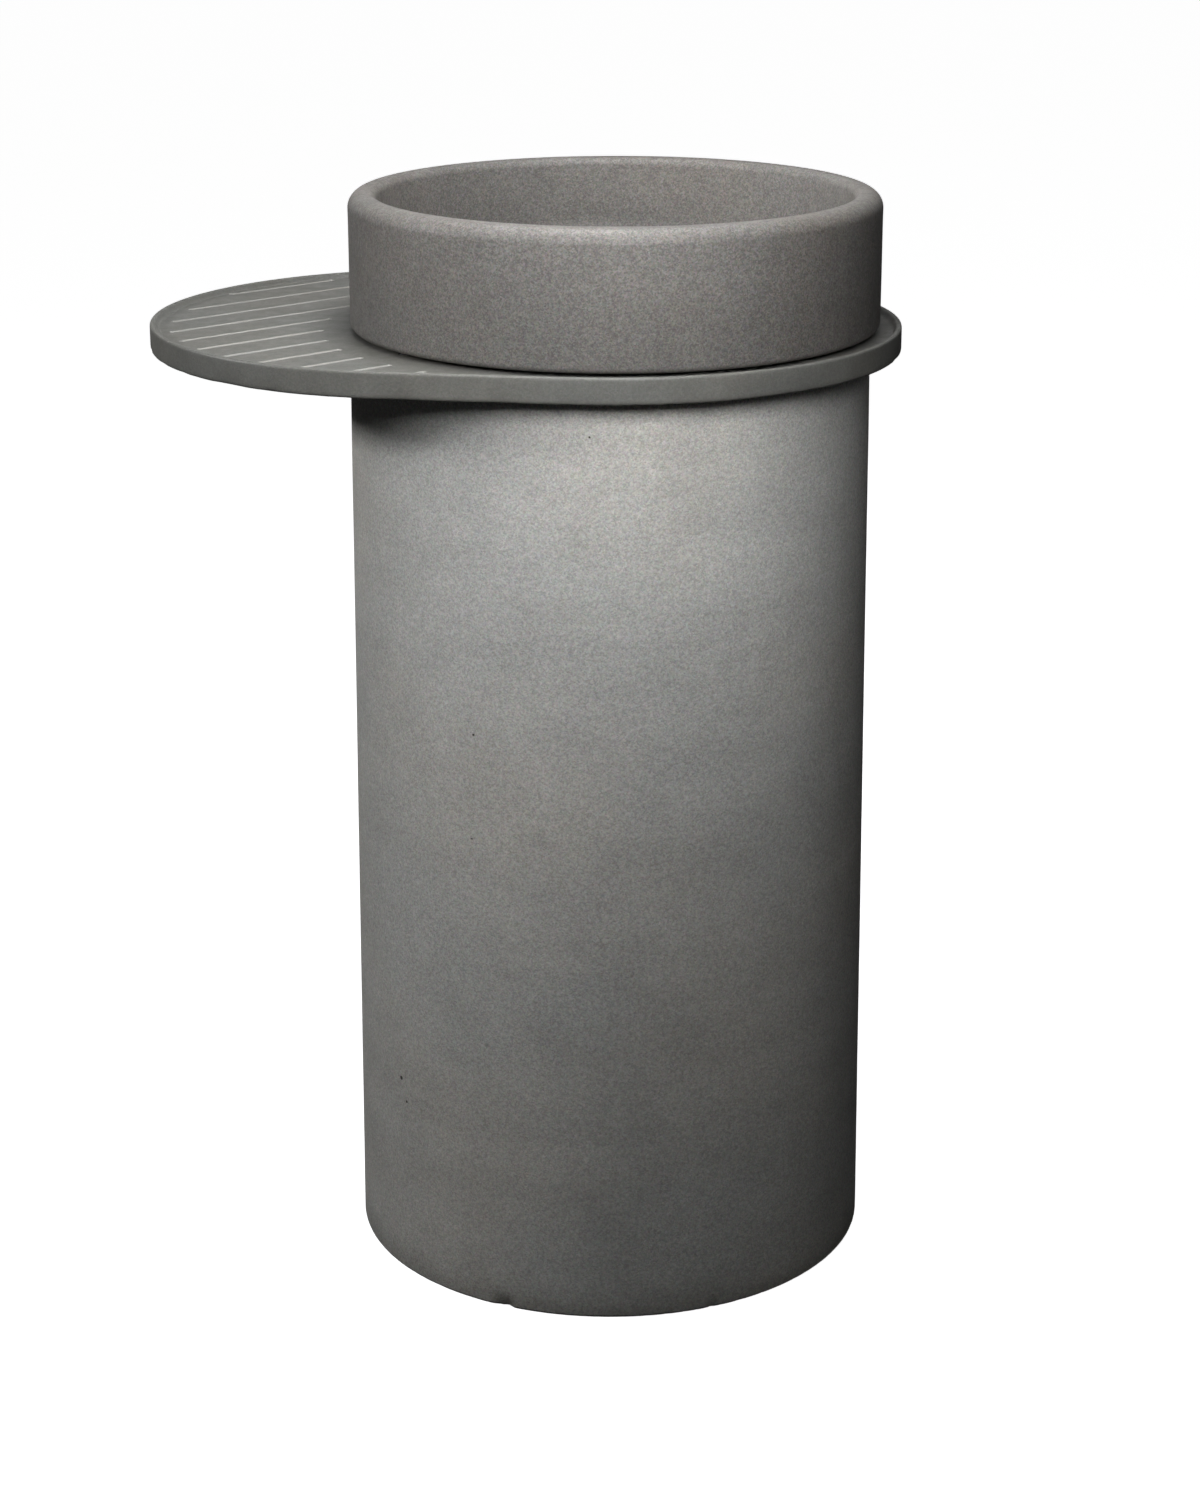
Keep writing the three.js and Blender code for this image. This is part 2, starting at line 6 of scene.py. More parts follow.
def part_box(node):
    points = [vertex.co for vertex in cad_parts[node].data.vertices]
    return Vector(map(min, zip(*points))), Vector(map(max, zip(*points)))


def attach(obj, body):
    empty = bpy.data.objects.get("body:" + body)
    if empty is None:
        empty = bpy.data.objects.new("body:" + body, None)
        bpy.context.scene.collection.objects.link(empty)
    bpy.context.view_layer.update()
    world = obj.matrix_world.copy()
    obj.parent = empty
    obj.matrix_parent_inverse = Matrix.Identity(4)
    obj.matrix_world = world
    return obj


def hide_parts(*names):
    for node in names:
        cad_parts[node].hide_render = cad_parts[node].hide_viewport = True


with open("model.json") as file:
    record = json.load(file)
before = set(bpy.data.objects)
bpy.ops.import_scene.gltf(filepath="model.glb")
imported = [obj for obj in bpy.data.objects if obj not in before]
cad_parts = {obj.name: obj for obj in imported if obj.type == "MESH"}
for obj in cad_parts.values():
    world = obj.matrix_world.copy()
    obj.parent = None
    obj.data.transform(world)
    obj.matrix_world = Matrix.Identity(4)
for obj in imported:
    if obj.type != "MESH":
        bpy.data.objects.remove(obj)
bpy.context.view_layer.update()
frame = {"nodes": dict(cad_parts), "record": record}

# ------------------------------------------------------------------ sizes, metres
ped_lo, ped_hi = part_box("pedestal")
bowl_lo, bowl_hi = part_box("bowl")
tray_lo, tray_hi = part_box("tray")
cap_lo, cap_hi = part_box("plug_cap")
AX = (ped_lo[0] + ped_hi[0]) / 2          # the column's axis
BOWL_R = (bowl_hi[0] - bowl_lo[0]) / 2
PED_R = (ped_hi[0] - ped_lo[0]) / 2       # at the floor
PED_RT = PED_R - 0.0045                   # at the top
AXB = (bowl_lo[0] + bowl_hi[0]) / 2       # the bowl's axis
TRAY_R = (tray_hi[1] - tray_lo[1]) / 2
TRAY_L = (tray_hi[0] - tray_lo[0]) - 2 * TRAY_R
FACE_Z = tray_lo[2] + 0.0155              # drained face of the tray
MM = 0.001
rad = math.radians


def arc(cx, cz, r, a0, a1, n):
    return [(cx + r * math.cos(rad(a0 + (a1 - a0) * i / n)), cz + r * math.sin(rad(a0 + (a1 - a0) * i / n))) for i in range(n + 1)]


def steps(p, q, n):
    """Points from p to q, without either end."""
    return [(p[0] + (q[0] - p[0]) * i / n, p[1] + (q[1] - p[1]) * i / n) for i in range(1, n)]


def finish_mesh(name, bm, angle=32):
    me = bpy.data.meshes.new(name)
    bmesh.ops.recalc_face_normals(bm, faces=bm.faces)
    bm.to_mesh(me)
    bm.free()
    for p in me.polygons:
        p.use_smooth = True
    me.set_sharp_from_angle(angle=rad(angle))
    ob = bpy.data.objects.new(name, me)
    bpy.context.collection.objects.link(ob)
    return ob


def lathe(name, profile, seg, move=None, angle=32, ax=AX):
    """A closed profile of (radius, z) in metres, turned round the column's axis. move nudges each point inward."""
    bm = bmesh.new()
    rings = []
    for r, z in profile:
        if r < 1e-7:
            rings.append([bm.verts.new((ax, 0, z))])
            continue
        ring = []
        for i in range(seg):
            a = 2 * math.pi * i / seg
            x, y = math.cos(a), math.sin(a)
            rr, zz = (r, z) if move is None else move(x, y, r, z)
            ring.append(bm.verts.new((ax + rr * x, rr * y, zz)))
        rings.append(ring)
    n = len(rings)
    closed = len(rings[0]) > 1 or len(rings[-1]) > 1
    for k in range(n if closed else n - 1):
        a, b = rings[k], rings[(k + 1) % n]
        for i in range(seg):
            j = (i + 1) % seg
            if len(a) == 1 and len(b) == 1:
                continue
            if len(a) == 1:
                bm.faces.new((a[0], b[j], b[i]))
            elif len(b) == 1:
                bm.faces.new((a[i], a[j], b[0]))
            else:
                bm.faces.new((a[i], a[j], b[j], b[i]))
    return finish_mesh(name, bm, angle)


def stadium(d, n=72):
    r = TRAY_R - d
    pts = []
    for i in range(n + 1):
        a = rad(-90 + 180 * i / n)
        pts.append((AX + r * math.cos(a), r * math.sin(a)))
    for i in range(1, 24):
        pts.append((AX - TRAY_L * i / 24, r))
    for i in range(n + 1):
        a = rad(90 + 180 * i / n)
        pts.append((AX - TRAY_L + r * math.cos(a), r * math.sin(a)))
    for i in range(1, 24):
        pts.append((AX - TRAY_L + TRAY_L * i / 24, -r))
    return pts


def loft_bm(bm, levels):
    """levels: [(outline points, z), ...], every outline with the same number of points; capped at both ends."""
    rings = [[bm.verts.new((x, y, z)) for x, y in pts] for pts, z in levels]
    n = len(rings[0])
    for a, b in zip(rings, rings[1:]):
        for i in range(n):
            j = (i + 1) % n
            bm.faces.new((a[i], a[j], b[j], b[i]))
    bm.faces.new(list(reversed(rings[0])))
    bm.faces.new(rings[-1])
    return rings


def cut(ob, cutter, angle=32):
    """ob with cutter's solids taken away, applied to its mesh."""
    m = ob.modifiers.new("cut", "BOOLEAN")
    m.operation, m.solver, m.object = "DIFFERENCE", "EXACT", cutter
    try:
        m.material_mode = "TRANSFER"
    except Exception:
        pass
    dg = bpy.context.evaluated_depsgraph_get()
    me = bpy.data.meshes.new_from_object(ob.evaluated_get(dg))
    ob.modifiers.clear()
    old = ob.data
    ob.data = me
    bpy.data.meshes.remove(old)
    me.name = ob.name
    bpy.data.objects.remove(cutter, do_unlink=True)
    for p in me.polygons:
        p.use_smooth = True
    me.set_sharp_from_angle(angle=rad(angle))
    return ob


def cylinder_bm(bm, centre, axis, r, length, seg=32):
    axis = Vector(axis).normalized()
    u = axis.orthogonal().normalized()
    v = axis.cross(u)
    c = Vector(centre)
    a = [bm.verts.new(c + r * (math.cos(2 * math.pi * i / seg) * u + math.sin(2 * math.pi * i / seg) * v)) for i in range(seg)]
    b = [bm.verts.new(p.co + axis * length) for p in a]
    for i in range(seg):
        j = (i + 1) % seg
        bm.faces.new((a[i], a[j], b[j], b[i]))
    bm.faces.new(list(reversed(a)))
    bm.faces.new(b)


# ------------------------------------------------------------------ materials
def mat_new(name):
    m = bpy.data.materials.new(name)
    m.use_nodes = True
    nt = m.node_tree
    bsdf = nt.nodes["Principled BSDF"]
    return m, nt, bsdf


class Net:
    """Short names for the node calls."""

    def __init__(self, nt):
        self.nt = nt
        self.tc = nt.nodes.new("ShaderNodeTexCoord").outputs["Object"]

    def link(self, a, b):
        self.nt.links.new(a, b)

    def put(self, sock, v):
        if isinstance(v, bpy.types.NodeSocket):
            self.link(v, sock)
        else:
            sock.default_value = v

    def coords(self, scale=(1, 1, 1), loc=(0, 0, 0)):
        n = self.nt.nodes.new("ShaderNodeMapping")
        self.link(self.tc, n.inputs["Vector"])
        n.inputs["Scale"].default_value = scale
        n.inputs["Location"].default_value = loc
        return n.outputs["Vector"]

    def noise(self, scale, detail=3, rough=0.5, vec=None, color=False, distortion=0.0):
        n = self.nt.nodes.new("ShaderNodeTexNoise")
        self.link(vec or self.tc, n.inputs["Vector"])
        n.inputs["Scale"].default_value = scale
        n.inputs["Detail"].default_value = detail
        n.inputs["Roughness"].default_value = rough
        n.inputs["Distortion"].default_value = distortion
        return n.outputs["Color" if color else "Fac"]

    def voronoi(self, scale, vec=None, feature="F1", out="Distance", randomness=1.0):
        n = self.nt.nodes.new("ShaderNodeTexVoronoi")
        n.feature = feature
        self.link(vec or self.tc, n.inputs["Vector"])
        n.inputs["Scale"].default_value = scale
        n.inputs["Randomness"].default_value = randomness
        return n.outputs[out]

    def ramp(self, v, lo, hi, out0=0.0, out1=1.0, smooth=False):
        n = self.nt.nodes.new("ShaderNodeMapRange")
        n.interpolation_type = "SMOOTHSTEP" if smooth else "LINEAR"
        n.clamp = True
        self.put(n.inputs["Value"], v)
        n.inputs["From Min"].default_value = lo
        n.inputs["From Max"].default_value = hi
        n.inputs["To Min"].default_value = out0
        n.inputs["To Max"].default_value = out1
        return n.outputs["Result"]

    def math(self, op, a, b=0.0, clamp=False):
        n = self.nt.nodes.new("ShaderNodeMath")
        n.operation = op
        n.use_clamp = clamp
        self.put(n.inputs[0], a)
        self.put(n.inputs[1], b)
        return n.outputs[0]

    def mix(self, fac, a, b, blend="MIX"):
        n = self.nt.nodes.new("ShaderNodeMix")
        n.data_type = "RGBA"
        n.blend_type = blend
        self.put(n.inputs[0], fac)
        self.put(n.inputs[6], a if isinstance(a, bpy.types.NodeSocket) else (*a, 1.0))
        self.put(n.inputs[7], b if isinstance(b, bpy.types.NodeSocket) else (*b, 1.0))
        return n.outputs[2]

    def gray(self, v):
        """A value as a grey colour."""
        n = self.nt.nodes.new("ShaderNodeCombineColor")
        for i in range(3):
            self.link(v, n.inputs[i])
        return n.outputs[0]

    def xyz(self, vec=None):
        n = self.nt.nodes.new("ShaderNodeSeparateXYZ")
        self.link(vec or self.tc, n.inputs[0])
        return n.outputs

    def near(self, point, r0, r1):
        """1 inside r0 of a point on the object, falling to 0 at r1."""
        n = self.nt.nodes.new("ShaderNodeVectorMath")
        n.operation = "DISTANCE"
        self.link(self.tc, n.inputs[0])
        n.inputs[1].default_value = point
        return self.ramp(n.outputs["Value"], r0, r1, 1.0, 0.0, smooth=True)

    def bump(self, height, strength, distance, normal=None):
        n = self.nt.nodes.new("ShaderNodeBump")
        n.inputs["Strength"].default_value = strength
        n.inputs["Distance"].default_value = distance
        self.link(height, n.inputs["Height"])
        if normal is not None:
            self.link(normal, n.inputs["Normal"])
        return n.outputs["Normal"]


def concrete(name, base, cloud=(4.0, 0.10), streak=0.0, grain=0.12, chroma=0.05, rough=(0.62, 0.8), sand=0.0002,
             pits=(55.0, 0.05), marks=(), painted_light_top=None, dirt_z=None, spec=0.35):
    """Cast concrete: clouds of tone, trowel bands, mineral grain, sand texture, air-bubble pits painted dark as painted
    shade in their hollows, and, if asked, painted light: a tone raised towards the top.
    """
    m, nt, bsdf = mat_new(name)
    k = Net(nt)
    big = k.noise(cloud[0], 4, 0.55, k.coords(loc=(1.3, 0.7, 2.1)))
    mid = k.noise(cloud[0] * 6, 4, 0.6)
    col = k.mix(k.ramp(big, 0.3, 0.7), [c * (1 - cloud[1]) for c in base], [c * (1 + cloud[1]) for c in base])
    warm = [base[0] * 1.05, base[1] * 0.99, base[2] * 0.93]
    col = k.mix(k.ramp(k.noise(cloud[0] * 1.7, 3, 0.5, k.coords(loc=(4, 9, 1))), 0.4, 0.75, 0.0, 0.6), col, warm)
    col = k.mix(k.ramp(mid, 0.35, 0.65, 0.0, 1.0), col, k.mix(1.0, col, (0.90, 0.90, 0.90), "MULTIPLY"))
    if streak:
        bands = k.noise(7.0, 5, 0.6, k.coords(scale=(0.35, 0.35, 3.2)), distortion=0.4)
        col = k.mix(k.ramp(bands, 0.38, 0.66, 0.0, streak), col, k.mix(1.0, col, (0.74, 0.74, 0.74), "MULTIPLY"))
    # mineral grain, light and dark, with a little colour of its own
    cell = k.xyz(k.voronoi(950.0, out="Color"))
    g1 = k.ramp(cell[0], 0.0, 1.0, 1 - grain, 1 + grain)
    g2 = k.ramp(k.noise(330.0, 2, 0.6, k.coords(loc=(3, 3, 3))), 0.3, 0.7, 1 - grain * 0.5, 1 + grain * 0.5)
    col = k.mix(1.0, col, k.gray(k.math("MULTIPLY", g1, g2)), "MULTIPLY")
    if chroma:
        tint = k.mix(chroma, (1, 1, 1), k.voronoi(800.0, k.coords(loc=(7, 2, 5)), out="Color"))
        col = k.mix(1.0, col, k.mix(1.0, tint, (1 + chroma * 0.5,) * 3, "MULTIPLY"), "MULTIPLY")
    # air-bubble pits: few cells of a fine cell pattern hold one; they and the given marks are painted dark, painted
    # shade in their hollows
    cells = k.voronoi(pits[0])
    gate = k.ramp(k.xyz(k.voronoi(pits[0], out="Color"))[0], 1 - pits[1], 1 - pits[1] + 0.001)
    size = k.ramp(k.xyz(k.voronoi(pits[0], out="Color"))[1], 0, 1, 0.035, 0.085)
    pit = k.math("MULTIPLY", k.ramp(k.math("SUBTRACT", cells, size), -0.02, 0.012, 1.0, 0.0, smooth=True), gate)
    for point, r in marks:
        pit = k.math("MAXIMUM", pit, k.near(point, r * 0.55, r))
    # painted shade: the pits' colour is darkened to stand in for the shade inside them
    col = k.mix(pit, col, k.mix(1.0, col, (0.22, 0.21, 0.20), "MULTIPLY"))
    z = k.xyz()[2]
    # painted light: the colour is raised towards the top to stand in for light falling there, leaving the lower part in
    # painted shade
    if painted_light_top:
        z0, z1, gain = painted_light_top
        col = k.mix(k.ramp(z, z0, z1, 0.0, 1.0, smooth=True), col, k.mix(1.0, col, (gain, gain, gain), "MULTIPLY"))
    if dirt_z:
        z0, z1, amount = dirt_z
        edge = k.math("ADD", z, k.ramp(k.noise(30.0, 4, 0.6), 0.2, 0.8, -0.012, 0.012))
        col = k.mix(k.ramp(edge, z0, z1, amount, 0.0, smooth=True), col, k.mix(1.0, col, (0.62, 0.60, 0.56), "MULTIPLY"))
    k.link(col, bsdf.inputs["Base Color"])
    r = k.ramp(k.noise(60.0, 4, 0.6, k.coords(loc=(2, 6, 4))), 0.3, 0.7, rough[0], rough[1])
    k.link(k.math("MAXIMUM", r, k.math("MULTIPLY", pit, 0.95)), bsdf.inputs["Roughness"])
    bsdf.inputs["Specular IOR Level"].default_value = spec
    sandy = k.math("ADD", k.noise(1100.0, 3, 0.65), k.math("MULTIPLY", k.noise(260.0, 3, 0.6, k.coords(loc=(5, 1, 8))), 0.9))
    n1 = k.bump(sandy, 0.55, sand)
    n2 = k.bump(k.noise(22.0, 3, 0.5, k.coords(loc=(0, 4, 9))), 0.35, 0.0012, n1)
    n3 = k.bump(k.math("SUBTRACT", 1.0, pit), 0.9, 0.0008, n2)
    k.link(n3, bsdf.inputs["Normal"])
    return m


def metal(name, base, rough, brushed=None, stain=None, bump=0.00004):
    """Bare or plated metal with tarnish, handling marks and, if brushed is given, fine brushing along that axis."""
    m, nt, bsdf = mat_new(name)
    k = Net(nt)
    bsdf.inputs["Metallic"].default_value = 1.0
    t = k.ramp(k.noise(45.0, 5, 0.6), 0.35, 0.7)
    col = k.mix(t, base, [c * 0.86 for c in base])
    if stain:
        col = k.mix(k.ramp(k.noise(120.0, 5, 0.65, k.coords(loc=(3, 1, 2))), 0.55, 0.75, 0.0, 0.7), col, stain)
    k.link(col, bsdf.inputs["Base Color"])
    scale = {None: (1, 1, 1), "x": (0.06, 1, 1), "y": (1, 0.06, 1), "z": (1, 1, 0.06)}[brushed]
    fine = k.noise(2600.0 if brushed else 900.0, 3, 0.6, k.coords(scale=scale))
    k.link(k.math("ADD", k.ramp(fine, 0.3, 0.7, rough * 0.7, rough * 1.3), k.ramp(t, 0, 1, 0, rough * 0.5)), bsdf.inputs["Roughness"])
    k.link(k.bump(fine, 0.4, bump), bsdf.inputs["Normal"])
    return m


def soft(name, base, rough=0.55, grain=400.0, depth=0.00012, dust=None, spec=0.5):
    """Moulded plastic or rubber: fine mould texture, scuffs and a little dust or yellowing."""
    m, nt, bsdf = mat_new(name)
    k = Net(nt)
    a = k.noise(18.0, 4, 0.6)
    col = k.mix(k.ramp(a, 0.35, 0.7), base, [c * 0.88 for c in base])
    if dust:
        col = k.mix(k.ramp(k.noise(70.0, 5, 0.65, k.coords(loc=(1, 5, 3))), 0.5, 0.75, 0.0, 0.5), col, dust)
    k.link(col, bsdf.inputs["Base Color"])
    f = k.noise(grain, 3, 0.6)
    k.link(k.ramp(k.math("ADD", k.math("MULTIPLY", f, 0.5), k.math("MULTIPLY", a, 0.5)), 0.3, 0.7, rough * 0.8, min(1, rough * 1.2)), bsdf.inputs["Roughness"])
    bsdf.inputs["Specular IOR Level"].default_value = spec
    k.link(k.bump(f, 0.5, depth), bsdf.inputs["Normal"])
    return m


def on_wall(angle, z, r=None):
    """A point on the column's outside; angle in degrees from the front, positive towards +X."""
    r = r or PED_RT + (PED_R - PED_RT) * (1 - z / 0.7265)
    return (AX + r * math.sin(rad(angle)), -r * math.cos(rad(angle)), z)


# The bowl's concrete is painted lighter towards the rim, up to 1.25 times: painted light.
BOWL = concrete("bowl_concrete", (0.113, 0.108, 0.102), cloud=(5.0, 0.05), grain=0.30, chroma=0.16, rough=(0.5, 0.66), pits=(42.0, 0.008), sand=0.00022, spec=0.4, painted_light_top=(0.745, 0.84, 1.25))
TRAY = concrete("tray_concrete", (0.122, 0.123, 0.114), cloud=(6.0, 0.06), grain=0.12, chroma=0.06, rough=(0.42, 0.6), pits=(48.0, 0.03), sand=0.00012, spec=0.45)
# The grooves' concrete is painted about twice as light as the tray's: a painted highlight standing in for the light the
# groove walls catch.
GROOVE_PAINTED_HIGHLIGHT = concrete("groove_concrete_painted_highlight", (0.26, 0.26, 0.245), cloud=(8.0, 0.06), grain=0.06, chroma=0.03, rough=(0.38, 0.5), pits=(48.0, 0.0), sand=0.00008, spec=0.5)
# The pedestal's concrete is painted lighter towards the top, up to 1.14 times: painted light. Its marks are single pits
# painted dark: painted shade.
PED = concrete("pedestal_concrete", (0.41, 0.41, 0.395), cloud=(3.2, 0.05), streak=0.36, grain=0.20, chroma=0.12, rough=(0.66, 0.84), pits=(16.0, 0.05), sand=0.0002,
               marks=((on_wall(-22.0, 0.4675), 0.0014), (on_wall(-22.6, 0.385), 0.0011), (on_wall(-45.5, 0.165), 0.0022), (on_wall(-43.5, 0.147), 0.0016), (on_wall(4.0, 0.7), 0.0010)),
               dirt_z=(0.0, 0.035, 0.5), spec=0.3, painted_light_top=(0.25, 0.70, 1.14))
RUBBER = soft("black_rubber", (0.018, 0.018, 0.019), 0.62, 500.0, 0.0001, dust=(0.10, 0.10, 0.095))
SEALANT = soft("grey_sealant", (0.06, 0.06, 0.058), 0.5, 220.0, 0.0002, dust=(0.14, 0.14, 0.13))
PLASTIC = soft("white_plastic", (0.74, 0.74, 0.71), 0.42, 650.0, 0.00006, dust=(0.60, 0.57, 0.50))
BRASS = metal("brass", (0.70, 0.50, 0.22), 0.32, stain=(0.30, 0.19, 0.08))
CHROME = metal("chrome", (0.78, 0.79, 0.80), 0.09, stain=(0.62, 0.62, 0.60), bump=0.00001)
STEEL = metal("stainless_steel", (0.56, 0.57, 0.58), 0.34, brushed="z", stain=(0.38, 0.37, 0.35))

# ------------------------------------------------------------------ bowl
RIM_OUT, RIM_IN, FOOT, WALL = 0.012, 0.007, 0.005, 0.0225
FLOOR = bowl_lo[2] + 0.022
ri = BOWL_R - WALL
b0, b1 = bowl_lo[2], bowl_hi[2]
profile = [(0.0235, b0 + 0.0003), (0.08, b0 + 0.0003), (0.15, b0 + 0.0003)]
profile += arc(BOWL_R - FOOT, b0 + FOOT, FOOT - 0.0003, -90, 0, 10)
profile += steps((BOWL_R - 0.0003, b0 + FOOT), (BOWL_R - 0.0003, b1 - RIM_OUT), 10)
profile += arc(BOWL_R - RIM_OUT, b1 - RIM_OUT, RIM_OUT - 0.0002, 0, 90, 14)
profile += arc(ri + RIM_IN, b1 - RIM_IN, RIM_IN - 0.0002, 90, 180, 10)
profile += steps((ri + 0.0002, b1 - RIM_IN), (ri - 0.0013, FLOOR + 0.0358), 6)
profile += arc(ri - 0.0315, FLOOR + 0.0355, 0.0302, 0, -84, 14)
profile += [(0.14, FLOOR + 0.0046), (0.1, FLOOR + 0.0030), (0.07, FLOOR + 0.0016), (0.04, FLOOR + 0.0006), (0.0358, FLOOR + 0.0003), (0.0350, FLOOR - 0.0006), (0.0347, FLOOR - 0.0049), (0.0235, FLOOR - 0.0049), (0.0235, FLOOR - 0.0054)]


def bowl_move(x, y, r, z):
    if r < 0.17:
        return r, z
    w = noise.noise(Vector((x * 2.2, y * 2.2, z * 9))) * 0.5 + 0.5
    f = noise.noise(Vector((x * 9, y * 9, z * 45 + 3))) * 0.5 + 0.5
    d = 0.00032 * w + 0.00010 * f
    inner = r < BOWL_R - 0.0155
    return (r + d if inner and z < b1 - 0.001 else r - d), z - (0.00018 * w if z > b1 - 0.01 else 0)


bowl = lathe("bowl_cast", profile, 288, bowl_move, 40, AXB)
bowl.data.materials.append(BOWL)
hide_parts("bowl"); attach(bowl, "basin")

# ------------------------------------------------------------------ tray
t0, t1 = tray_lo[2], tray_hi[2]
lv = [(2.6, 0.0), (1.3, 0.25), (0.6, 0.8), (0.2, 1.6), (0.02, 2.6), (0.02, 4.0), (0.02, 16.5), (0.02, 18.0), (0.12, 18.7), (0.38, 19.35), (0.85, 19.8), (1.5, 19.98), (2.7, 20.0),
      (3.5, 19.88), (4.1, 19.5), (4.6, 18.9), (5.2, 17.7), (5.9, 16.6), (6.8, 15.9), (7.8, 15.58), (8.8, 15.5), (9.3, 15.5)]


def ragged(pts, d, dz):
    """The underside's edge is a cast arris that wanders and has tiny chips, but this returns the points unchanged; the
    rest is smooth.
    """
    out = []
    for x, y in pts:
        out.append((x, y))
    return out


bm = bmesh.new()
rings = loft_bm(bm, [(stadium(d * MM), t0 + h * MM) for d, h in lv])
for ring, (d, h) in zip(rings, lv):
    if h <= 2.6:
        for v in ring:
            c = Vector((min(AX, max(AX - TRAY_L, v.co.x)), 0, 0))
            out = Vector((v.co.x, v.co.y, 0)) - c
            w = max(0.0, noise.noise(Vector((v.co.x * 60, v.co.y * 60, 1.5)))) + 1.6 * max(0.0, noise.noise(Vector((v.co.x * 210, v.co.y * 210, 7.1))) - 0.25)
            v.co -= out.normalized() * 0.0009 * w
            if h < 1.0:
                v.co.z += 0.0005 * w
tray = finish_mesh("tray_cast", bm, 38)
tray.data.materials.append(TRAY)
tray.data.materials.append(GROOVE_PAINTED_HIGHLIGHT)

ANG, PITCH, OFFS, CLEAR, MARGIN, GW = 50.0, 0.0356, 0.0268, 0.221, 0.015, 0.005
dx, dy = math.cos(rad(ANG)), math.sin(rad(ANG))
nx, ny = -dy, dx
bm = bmesh.new()
for kk in range(-2, 9):
    o = OFFS + kk * PITCH

    def ok(t):
        x, y = o * nx + t * dx, o * ny + t * dy
        cx = min(0.0, max(-TRAY_L, x))
        return math.hypot(x - cx, y) <= TRAY_R - (0.009 if kk == 8 else MARGIN) and math.hypot(x, y) >= CLEAR and x < -0.06

    run = [t * 0.0005 for t in range(-840, 841) if ok(t * 0.0005)]
    if len(run) < 20:
        continue
    end = run[0]
    for t in run:
        if t - end <= 0.0006:
            end = t
    ta, tb = run[0], end

    def capsule(h):
        pts = []
        for i in range(13):
            a = rad(-90 + 15 * i)
            pts.append((tb - GW / 2 + h * math.cos(a), h * math.sin(a)))
        for i in range(13):
            a = rad(90 + 15 * i)
            pts.append((ta + GW / 2 + h * math.cos(a), h * math.sin(a)))
        return [(AX + o * nx + t * dx + s * nx, o * ny + t * dy + s * ny) for t, s in pts]

    loft_bm(bm, [(capsule(w * MM), FACE_Z + h * MM) for w, h in ((0.7, -1.32), (1.3, -1.22), (1.75, -0.95), (2.05, -0.55), (2.3, -0.2), (2.62, 0.08), (2.9, 0.6))])
cutter = finish_mesh("groove_cutter", bm)
# The groove faces take the lighter concrete, a painted highlight.
cutter.data.materials.append(GROOVE_PAINTED_HIGHLIGHT)
tray = cut(tray, cutter, 38)
bm = bmesh.new()
cylinder_bm(bm, (AXB, 0, t0 - 0.004), (0, 0, 1), 0.024, 0.03, 48)
for a in (45, 135, 225, 315):
    c = (AX + 0.1875 * math.cos(rad(a)), 0.1875 * math.sin(rad(a)))
    loft_bm(bm, [([(c[0] + r * MM * math.cos(2 * math.pi * i / 32), c[1] + r * MM * math.sin(2 * math.pi * i / 32)) for i in range(32)], z) for r, z in ((3.4, t0 - 0.002), (3.4, FACE_Z - 0.0034), (6.5, FACE_Z - 0.0002), (6.5, FACE_Z + 0.002))])
cutter = finish_mesh("hole_cutter", bm)
cutter.data.materials.append(TRAY)
tray = cut(tray, cutter, 38)
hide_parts("tray"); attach(tray, "basin")

# ------------------------------------------------------------------ pedestal
pi, pt = PED_RT - 0.028, ped_hi[2]
profile = [(pi, 0.0), (PED_R - 0.003, 0.0)] + arc(PED_R - 0.0032, 0.003, 0.003, -70, 0, 5)
profile += steps((PED_R - 0.0002, 0.003), (PED_RT - 0.0002, pt - 0.003), 64) + arc(PED_RT - 0.0032, pt - 0.003, 0.003, 0, 90, 5)
profile += [(pi, pt)] + steps((pi, pt), (pi, 0.0), 30)
CHIPS = ((-16.0, 0.010, 0.0035), (-14.6, 0.006, 0.0022), (31.0, 0.006, 0.0018), (140.0, 0.009, 0.003), (-95.0, 0.007, 0.002))


def ped_move(x, y, r, z):
    if r < PED_RT - 0.004:
        return r, z
    d = 0.00045 * (noise.noise(Vector((x * 1.6, y * 1.6, z * 5))) * 0.5 + 0.5) + 0.00015 * (noise.noise(Vector((x * 7, y * 7, z * 40))) * 0.5 + 0.5)
    if z < 0.014:
        ang = math.degrees(math.atan2(x, -y))
        for a, w, deep in CHIPS:
            s = (ang - a) * PED_R * math.pi / 180
            q = math.hypot(s / w, z / (w * 0.6))
            if q < 1:
                d += deep * (1 - q) * (0.7 + 0.6 * noise.noise(Vector((s * 400, z * 400, a))))
        d += 0.0006 * max(0.0, noise.noise(Vector((x * 30, y * 30, z * 60)))) * max(0.0, 1 - z / 0.006)
    return r - d, z


ped = lathe("pedestal_cast", profile, 512, ped_move, 35)
ped.data.materials.append(PED)
bm = bmesh.new()
ow, oz0, oz1, oc = 0.095, 0.350, 0.670, 0.024
pts = []
for cx, cz, a0 in ((ow - oc, oz0 + oc, -90), (ow - oc, oz1 - oc, 0), (-ow + oc, oz1 - oc, 90), (-ow + oc, oz0 + oc, 180)):
    pts += arc(cx, cz, oc, a0, a0 + 90, 12)
a = [bm.verts.new((AX + x, 0.11, z)) for x, z in pts]
b = [bm.verts.new((AX + x, 0.23, z)) for x, z in pts]
for i in range(len(a)):
    j = (i + 1) % len(a)
    bm.faces.new((a[i], a[j], b[j], b[i]))
bm.faces.new(list(reversed(a))); bm.faces.new(b)
for g in (45, 135, 225, 315):
    cylinder_bm(bm, (AX + 0.1875 * math.cos(rad(g)), 0.1875 * math.sin(rad(g)), pt - 0.025), (0, 0, 1), 0.0068, 0.03)
